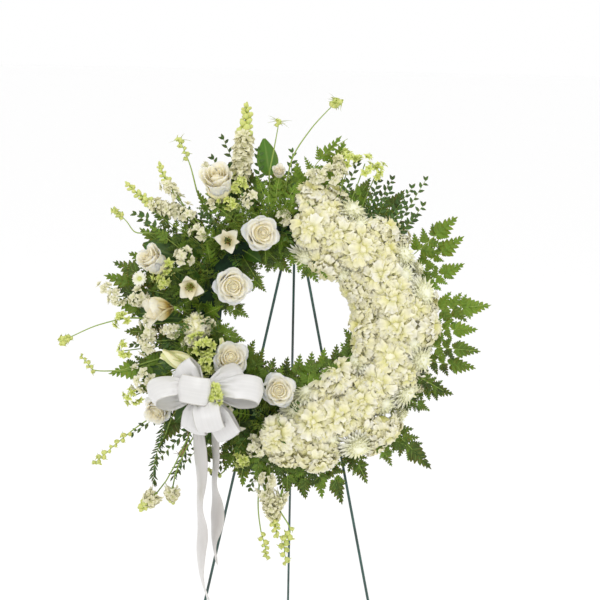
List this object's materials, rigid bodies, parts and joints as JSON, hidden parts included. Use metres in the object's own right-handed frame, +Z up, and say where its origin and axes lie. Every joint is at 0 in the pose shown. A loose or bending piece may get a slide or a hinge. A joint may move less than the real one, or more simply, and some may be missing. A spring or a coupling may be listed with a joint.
{
  "type": "standing funeral wreath",
  "caption": "Round funeral wreath on a folding wire easel: roses, a crescent of cream blooms, stock, fern, lime tendrils and a satin bow with two long tails.",
  "frame": {"origin": "on the floor under the middle of the whole object's bounding box", "axes": "+Z up, the wreath faces -Y and leans back, +X to the viewer's right; the back leg is at +Y"},
  "size_m": [0.93, 0.658, 1.454],
  "materials": {
    "painted_steel": "satin dark green paint on steel wire",
    "vinyl_cap": "soft matte vinyl",
    "rose_petal": "soft matte ivory petal",
    "trumpet_petal": "soft matte cream petal",
    "cream_petal": "soft matte cream petal",
    "lime_bud": "matte lime green bud",
    "fern_leaf": "leathery green leaf, slightly glossy",
    "satin_ribbon": "white satin weave",
    "pick_wood": "green stained softwood",
    "tray_plastic": "moulded dark green plastic",
    "wet_foam": "water-soaked open-cell floral foam"
  },
  "bodies": {
    "root": {"front_left_leg": "painted_steel", "front_right_leg": "painted_steel", "hinge_pin": "painted_steel", "apex_bracket": "painted_steel", "left_peg": "painted_steel", "right_peg": "painted_steel", "tie_wire_left": "painted_steel", "tie_wire_right": "painted_steel", "front_left_foot_cap": "vinyl_cap", "front_right_foot_cap": "vinyl_cap", "rose_1": "rose_petal", "rose_2": "rose_petal", "rose_3": "rose_petal", "rose_4": "rose_petal", "rose_5": "rose_petal", "rose_6": "rose_petal", "rose_7": "rose_petal", "alstroemeria_1": "trumpet_petal", "alstroemeria_2": "trumpet_petal", "alstroemeria_3": "trumpet_petal", "alstroemeria_4": "trumpet_petal", "alstroemeria_5": "trumpet_petal", "stock_spike_1": "cream_petal", "stock_spike_2": "cream_petal", "stock_spike_3": "cream_petal", "crescent_row_01": "cream_petal", "crescent_row_02": "cream_petal", "crescent_row_03": "cream_petal", "crescent_row_04": "cream_petal", "crescent_row_05": "cream_petal", "crescent_row_06": "cream_petal", "crescent_row_07": "cream_petal", "crescent_row_08": "cream_petal", "crescent_row_09": "cream_petal", "crescent_row_10": "cream_petal", "crescent_row_11": "cream_petal", "crescent_row_12": "cream_petal", "bud_tendril_1": "lime_bud", "bud_tendril_2": "lime_bud", "bud_tendril_3": "lime_bud", "fern_frond_right": "fern_leaf", "fern_frond_upper_right": "fern_leaf", "fern_frond_lower_right": "fern_leaf", "fern_frond_bottom": "fern_leaf", "fern_frond_left": "fern_leaf", "bow_loop_left": "satin_ribbon", "bow_loop_right": "satin_ribbon", "bow_loop_right_low": "satin_ribbon", "bow_loop_front": "satin_ribbon", "bow_loop_low": "satin_ribbon", "bow_knot": "satin_ribbon", "bow_tail_left": "satin_ribbon", "bow_tail_right": "satin_ribbon", "bow_pick": "pick_wood", "ring_tray": "tray_plastic", "foam_ring": "wet_foam"},
    "back_leg": {"back_leg": "painted_steel", "back_foot_cap": "vinyl_cap"}
  },
  "joints": [
    {"name": "back_leg_fold", "type": "hinge", "parent": "root", "child": "back_leg", "pos_m": [0.04, 0.00888, 1.17656], "axis": [1, 0, 0], "range_deg": [-24, 0]}
  ]
}
